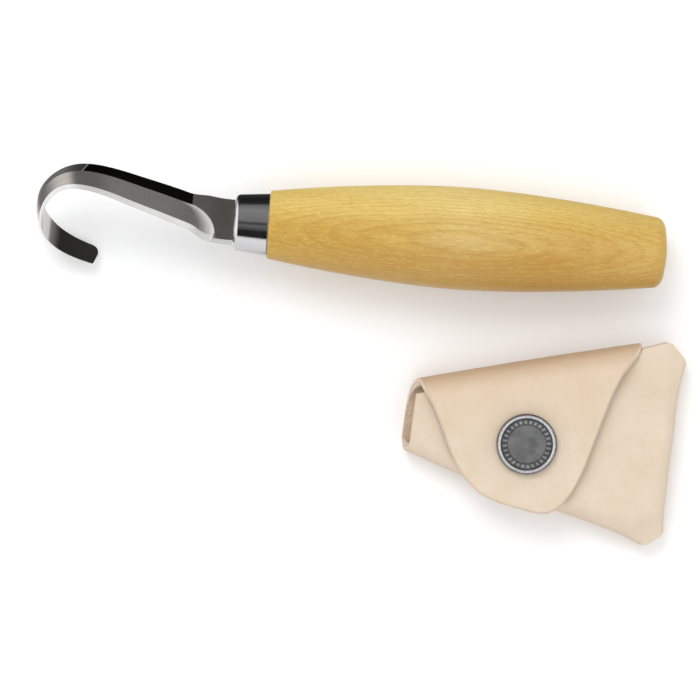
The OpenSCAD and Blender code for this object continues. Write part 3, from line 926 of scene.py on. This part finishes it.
def front_lift(flat, soft):
    """How far the front panel has risen, from 0 at the outline to 1. Its folds flow together."""
    low = distance_to(spline(POCKET_BOTTOM, 130), flat)
    right = distance_to(spline(POCKET_RIGHT, 110), flat)
    joined = 4.4
    inset = joined - np.hypot(np.maximum(joined - low, 0), np.maximum(joined - right, 0))
    share = np.clip(inset / soft, 0, 1)
    return (1 - (1 - share) ** (2 / 1.15)) ** 0.46


def make_pocket(materials):
    outline = pocket_outline()
    along = np.roll(outline, -1, 0) - np.roll(outline, 1, 0)
    along /= np.linalg.norm(along, axis=1)[:, None]
    inward = np.column_stack((-along[:, 1], along[:, 0]))
    centre = np.array([27.0, -20.0])
    # every column of points runs straight to the centre, so that none cross at the corners
    ray = centre - outline
    ray /= np.linalg.norm(ray, axis=1)[:, None]
    stretch = np.maximum((ray * inward).sum(1), 0.45)
    ray /= np.mean([np.roll(stretch, k) for k in range(-14, 15)], axis=0)[:, None]
    soft = 3.9
    angles = np.radians(np.linspace(0, 90, 10))
    flats = [outline + ray * soft * (1 - math.cos(angle) ** 1.15) for angle in angles]
    lifts = [math.sin(angle) ** 0.92 for angle in angles]
    for share in np.linspace(0.96, 0, 34):
        flats.append(centre + (flats[len(angles) - 1] - centre) * share)
        lifts.append(1.0)
    front, back = [], []
    for flat, lift in zip(flats, lifts):
        rise = (pocket_top(flat[:, 0], flat[:, 1]) - BODY_MIDDLE) * front_lift(flat, soft)
        front.append(np.column_stack((flat, BODY_MIDDLE + rise)))
        back.append(np.column_stack((flat, np.full(len(flat), BODY_MIDDLE * (1 - lift)))))
    shell = back[:0:-1] + front
    verts = np.concatenate(shell)
    faces = grid_faces(len(shell), len(outline), closed=True)
    verts, faces = cut_pocket(verts, faces)
    on_front = verts[:, 2] > BODY_MIDDLE
    thickness = LEATHER - stud_seat(verts[:, 0], verts[:, 1]) * on_front
    solid, faces, kinds, depth = thicken(verts, faces, thickness)
    piece = make_piece("sheath_body_leather", solid, faces, SHEATH, materials, kinds, sharp=42)
    # browner where the front panel curves down to its outline: partly burnish, partly painted shade
    lift = (solid[:, 2] - BODY_MIDDLE) / (pocket_top(solid[:, 0], solid[:, 1]) - BODY_MIDDLE)
    store_leather(piece, solid, depth, 0.7 * (1 - smoothstep(0.1, 0.72, lift)))
    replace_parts(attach(settle(piece), "sheath"), "sheath_body")


def wall(a, b):
    """The upright plane on a line of the top view, with its normal to the left from a to b."""
    return Vector((*a, 0)), Vector((a[1] - b[1], b[0] - a[0], 0)).normalized()


def pocket_planes():
    """The planes that bound the pocket, each a point and a normal that points away from it."""
    mouth = Vector((-0.6, -3.8, 12.0)), Vector((-3.0, -4.4, 0.0)), Vector((-6.05, -18.3, 6.0))
    top_left, top_right, corner_high = (59.2, -1.9), (66.8, -1.3), (70.4, -7.2)
    low_right, low_left = (57.1, -50.7), (51.3, -52.95)
    fold_end, step_end, front_top = 58.9, 57.4, -4.3
    planes = {
        "mouth": (mouth[0], (mouth[1] - mouth[0]).cross(mouth[2] - mouth[0]).normalized()),
        "top": wall(top_left, top_right),
        "step": wall((step_end, front_top), top_left),
        "high": wall(top_right, corner_high),
        "low": wall(low_right, low_left),
        "front": wall((0, front_top), (1, front_top)),
        "back": wall((0, -FOLD_R), (1, -FOLD_R)),
        "step_end": wall((step_end, 0), (step_end, -1)),
        "fold_end": wall((fold_end, 0), (fold_end, -1)),
    }
    # the ends of the two slanted cuts are eased
    ease = 0.5
    high, low = planes["high"][1], planes["low"][1]
    ends = ((top_right, high, planes["top"][1]), (corner_high, high, Vector((0.919, -0.395, 0))),
            (low_left, low, Vector((-0.62, -0.78, 0))), (low_right, low, Vector((0.97, -0.23, 0))))
    for n, (at, one, other) in enumerate(ends):
        normal = (one + other).normalized()
        planes[f"eased_{n}"] = (Vector((*at, 0)) - normal * ease, normal)
    return planes


def cut_pocket(verts, faces):
    """Cuts the shell at its mouth, its top edges and its two slanted corners."""
    bm = bmesh.new()
    for v in verts:
        bm.verts.new(v)
    bm.verts.ensure_lookup_table()
    for face in faces:
        bm.faces.new([bm.verts[i] for i in face])
    planes = pocket_planes()
    for at, normal in planes.values():
        bmesh.ops.bisect_plane(bm, geom=bm.verts[:] + bm.edges[:] + bm.faces[:], dist=1e-4,
                               plane_co=at, plane_no=normal)
    both_layers = {"mouth", "high", "low"} | {name for name in planes if name.startswith("eased")}

    def outside(name, p):
        at, normal = planes[name]
        return (p - at).dot(normal) > 0

    def cut_off(p):
        if any(outside(name, p) for name in both_layers):
            return True
        if p.z <= BODY_MIDDLE:
            return outside("top" if outside("fold_end", p) else "back", p)
        if outside("step_end", p):
            return outside("step", p) or outside("top", p)
        return outside("front", p)

    doomed = [face for face in bm.faces if cut_off(face.calc_center_median())]
    bmesh.ops.delete(bm, geom=doomed, context="FACES")
    bmesh.ops.remove_doubles(bm, verts=bm.verts[:], dist=0.02)
    loose = [v for v in bm.verts if not v.link_faces]
    bmesh.ops.delete(bm, geom=loose, context="VERTS")
    bm.verts.index_update()
    out_verts = np.array([v.co for v in bm.verts])
    # the faces are turned over, so that their normals point outward
    out_faces = [tuple(v.index for v in reversed(face.verts[:])) for face in bm.faces]
    bm.free()
    return out_verts, out_faces


# ---------- snap ----------

CAP_R, CAP_BASE, CAP_TOP = 7.9, 15.4, 17.1
BEADS = 28


def make_snap_cap():
    """The stamped cap: a bright rolled rim, a sunken face with plain beads, and its rivet."""
    sectors = BEADS * 13
    angle = np.linspace(0, 2 * math.pi, sectors, endpoint=False)
    bore_r, rivet_r, flange_r = 1.4, 2.2, 2.9
    flange_low, flange_high, bore_top = 13.4, 13.9, 16.0
    profile = [(bore_r, flange_low), (flange_r, flange_low), (flange_r, flange_high - 0.02),
               (rivet_r, flange_high), (rivet_r, CAP_BASE), (CAP_R - 0.75, CAP_BASE)]
    for a in np.radians(np.arange(-80, 91, 10)):
        profile.append((CAP_R - 0.55 + 0.55 * math.cos(a), CAP_BASE + 0.78 + 0.78 * math.sin(a)))
    for a in np.radians(np.arange(80, -1, -10)):
        profile.append((CAP_R - 0.55 - 0.62 * math.cos(a), CAP_TOP - 0.62 + 0.48 * math.sin(a)))
    face_r, face_z = CAP_R - 1.22, CAP_TOP - 0.66
    profile.append((face_r, face_z))
    ring_low, ring_high = 5.1, 6.42
    for r in np.linspace(face_r - 0.1, ring_low - 0.2, 17):
        profile.append((r, face_z + 0.02))
    for r in np.linspace(ring_low - 0.35, 0.15, 14):
        profile.append((r, face_z + 0.02 + 0.14 * (1 - (r / ring_low) ** 2)))
    rings = []
    for r, z in [(bore_r, bore_top)] + profile:
        ring = np.column_stack((r * np.cos(angle), r * np.sin(angle), np.full(sectors, z)))
        if ring_low < r < ring_high:
            across = (r - (ring_low + ring_high) / 2) / ((ring_high - ring_low) / 2)
            bead = np.abs(np.sin(angle * BEADS / 2)) ** 1.6
            ring[:, 2] += 0.30 * np.maximum(1 - across ** 2, 0) ** 0.6 * bead - 0.06
        rings.append(ring)
    cap = make_piece("snap_cap_plate", *loft(rings[::-1]), SNAP,
                     [snap_plate("snap_cap_metal", (0.84, 0.84, 0.85), 0.34), rim_metal(),
                      snap_plate("snap_recess_and_skirt_shade", (0.30, 0.30, 0.31), 0.42)], sharp=45)
    centres = np.array([p.center for p in cap.data.polygons]) / MM
    radius, height = np.hypot(centres[:, 0], centres[:, 1]), centres[:, 2]
    on_top = height > CAP_BASE
    recess_r, rim_r = CAP_R - 1.1, CAP_R - 0.42
    on_rim = (radius > recess_r) & (radius < rim_r) & on_top
    recess_and_shaded_skirt = (radius > ring_low - 0.2) & (radius < recess_r) & on_top & (height < face_z + 0.16)
    # the outer skirt of the rim also gets the dark recess metal: a painted shade where it curves
    # down to the leather
    recess_and_shaded_skirt |= radius >= rim_r
    cap.data.polygons.foreach_set("material_index", (on_rim + 2 * recess_and_shaded_skirt).astype(np.int32))
    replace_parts(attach(settle(cap), "flap"), "snap_cap")


def dress_cad_nodes():
    """Materials for the CAD pieces that keep their own shape."""
    snap_metal = snap_plate("snap_metal", (0.46, 0.46, 0.47), 0.24)
    wire = plain_metal("spring_wire", (0.72, 0.72, 0.71), 0.15)
    finishes = {"snap_socket": (snap_metal, "snap_metal"), "snap_stud": (snap_metal, "snap_metal"),
                "snap_post": (snap_metal, "snap_metal"), "snap_spring": (wire, "spring_wire"),
                "tang_filler": (adhesive(), "adhesive")}
    for name, (material, slot) in finishes.items():
        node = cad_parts[name]
        node.data.materials.clear()
        node.data.materials.append(material)


# ---------- studio ----------

FRAME_WIDTH = 181.7
VIEW_CENTRE = (-3.47, 1.92, 13.0)
CAMERA_HEIGHT = 1200.0


def make_camera():
    data = bpy.data.cameras.new("camera")
    data.sensor_width = 36.0
    data.lens = data.sensor_width * CAMERA_HEIGHT / FRAME_WIDTH
    data.clip_end = 20
    camera = add("camera", data)
    camera.location = (Vector(VIEW_CENTRE) + Vector((0, 0, CAMERA_HEIGHT))) * MM
    bpy.context.scene.camera = camera


def make_light(name, at, size, power):
    data = bpy.data.lights.new(name, "AREA")
    data.shape = "DISK"
    data.size = size
    data.energy = power
    light = add(name, data)
    light.location = at
    light.rotation_euler = (-Vector(at)).to_track_quat("-Z", "Y").to_euler()
    light.visible_glossy = False


def make_floor():
    size = 4.0
    corners = [(-size, -size, 0), (size, -size, 0), (size, size, 0), (-size, size, 0)]
    mesh = bpy.data.meshes.new("floor")
    mesh.from_pydata(corners, [], [(0, 1, 2, 3)])
    floor = add("floor", mesh)
    s = Shader("floor_paper", Roughness=0.9, Specular_IOR_Level=0.1)
    s.set("Base Color", s.ramp(s.noise(0.02, detail=2), (0.3, 0.90), (0.7, 0.92)))
    mesh.materials.append(s.material)
    floor.visible_glossy = False


# What the metal reflects, as (degrees round the X axis, brightness): 0 is straight up and 90 is +Y
WALLS = [(-180, 0.85), (-62, 0.95), (-52, 0.7), (-46, 0.012), (-20, 0.012), (-12, 0.06),
         (2, 0.13), (8, 0.06), (13, 0.05), (18, 0.16), (58, 0.22), (78, 0.15), (88, 0.02),
         (110, 0.012), (150, 0.04), (160, 0.9), (180, 0.9)]
LEFT_WALL = [(-180, 0.9), (-150, 0.95), (90, 0.95), (104, 0.75), (130, 0.45), (155, 0.25),
             (180, 0.2)]
RIGHT_WALL = [(-180, 0.9), (-60, 0.9), (20, 0.75), (50, 0.75), (60, 0.34), (84, 0.3),
              (91, 0.04), (126, 0.035), (140, 0.18), (156, 0.35), (160, 0.95), (180, 0.95)]


def make_world():
    """Pale surroundings, and a darker studio that only reflections see."""
    world = bpy.data.worlds.new("studio")
    world.use_nodes = True
    bpy.context.scene.world = world
    s = Nodes(world.node_tree)
    split = s.tree.nodes.new("ShaderNodeSeparateXYZ")
    s.put(split.inputs[0], s.node("ShaderNodeTexCoord", {}, "Generated"))
    x, y, z = split.outputs
    turn = s.linear(s.math("ARCTAN2", y, z), 0.5 / math.pi, 0.5)
    walls, left_wall, right_wall = (
        s.ramp(turn, *[((angle + 180) / 360, level) for angle, level in bands])
        for bands in (WALLS, LEFT_WALL, RIGHT_WALL))
    left = s.ramp(s.math("MULTIPLY", x, -1.0), (0.42, 0.0), (0.62, 1.0))
    right = s.ramp(x, (0.35, 0.0), (0.5, 1.0))
    studio = s.mix(right, s.mix(left, walls, left_wall), right_wall)
    glossy = s.node("ShaderNodeLightPath", {}, "Is Glossy Ray")
    background = s.tree.nodes["Background"]
    s.put(background.inputs["Color"], s.mix(glossy, (0.98, 0.985, 0.99), studio))
    s.put(background.inputs["Strength"], 1.0)


def make_studio():
    make_camera()
    make_floor()
    make_world()
    make_light("key", (-0.35, 0.85, 1.4), 0.9, 8.5)
    make_light("fill", (0.5, -0.5, 1.7), 1.2, 3)
    bpy.context.scene.view_settings.view_transform = "Standard"


make_handle()
make_ferrule()
make_blade()
leather = [leather_grain(), leather_flesh(), leather_edge()]
make_pocket(leather)
make_flap(leather)
make_snap_cap()
dress_cad_nodes()
make_studio()
